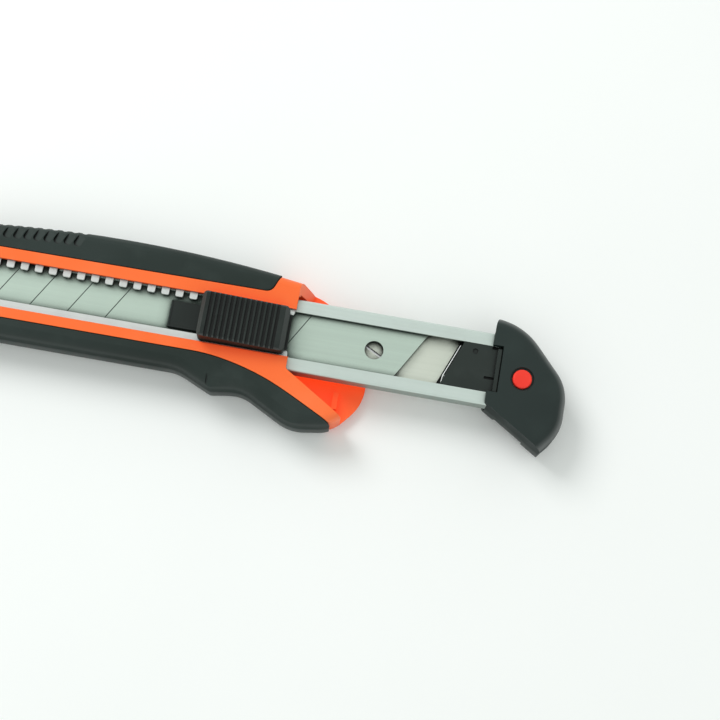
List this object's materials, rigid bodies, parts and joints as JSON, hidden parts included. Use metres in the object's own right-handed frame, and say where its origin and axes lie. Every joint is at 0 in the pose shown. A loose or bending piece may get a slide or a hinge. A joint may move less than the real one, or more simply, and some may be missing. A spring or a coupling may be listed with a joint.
{
  "type": "utility knife",
  "caption": "Snap-off utility knife with ratchet slider, rubber grips and a spare-blade magazine that pulls out of the rear at the press of a button.",
  "frame": {"origin": "on the flat back, on the blade channel's centre line, where the handle's front plate ends and the magazine pulls out", "axes": "+X along the knife towards the rear cap, +Y towards the spine, away from the cutting edge, +Z from the flat back towards the thumb slider"},
  "size_m": [0.1993, 0.0417, 0.0183],
  "materials": {
    "body_plastic": "moulded orange plastic, satin",
    "grip_rubber": "matte dark grey rubber",
    "rail_steel": "brushed strip steel",
    "slider_plastic": "black moulded plastic",
    "cap_plastic": "dark grey moulded plastic",
    "button_plastic": "red moulded plastic",
    "blade_steel": "ground carbon steel with lengthwise grain",
    "magazine_steel": "zinc-coated strip steel",
    "plate_steel": "plain rolled steel",
    "spring_steel": "bright spring steel"
  },
  "bodies": {
    "handle": {"handle_body": "body_plastic", "upper_grip": "grip_rubber", "lower_grip": "grip_rubber", "blade_rail": "rail_steel", "rail_rivets": "rail_steel"},
    "slider": {"slider_thumb": "slider_plastic", "slider_carriage": "slider_plastic", "blade_pin": "spring_steel", "active_blade": "blade_steel"},
    "pawl": {"ratchet_pawl": "spring_steel"},
    "magazine": {"magazine_channel": "magazine_steel", "magazine_block": "slider_plastic", "block_rivets": "magazine_steel", "lift_plate": "plate_steel", "lift_spring": "spring_steel", "stop_strip": "spring_steel", "spare_blade_1": "blade_steel", "spare_blade_2": "blade_steel", "spare_blade_3": "blade_steel", "end_cap": "cap_plastic", "cap_base": "cap_plastic", "cap_screws": "spring_steel", "button_spring": "spring_steel"},
    "button": {"release_button": "button_plastic", "latch_arm": "spring_steel"}
  },
  "joints": [
    {"name": "slider_slide", "type": "slide", "parent": "handle", "child": "slider", "axis": [-1, 0, 0], "range_m": [0, 0.06768]},
    {"name": "pawl_lift", "type": "slide", "parent": "slider", "child": "pawl", "axis": [0, 0, 1], "range_m": [0, 0.001], "stiffness_N_per_m": 300, "springref_m": -0.0003},
    {"name": "magazine_slide", "type": "slide", "parent": "handle", "child": "magazine", "axis": [1, 0, 0], "range_m": [-0.0523, 0.0077]},
    {"name": "button_press", "type": "slide", "parent": "magazine", "child": "button", "axis": [0, 0, -1], "range_m": [0, 0.0012], "stiffness_N_per_m": 600, "springref_m": -0.0005, "deforming": ["button_spring"]}
  ]
}
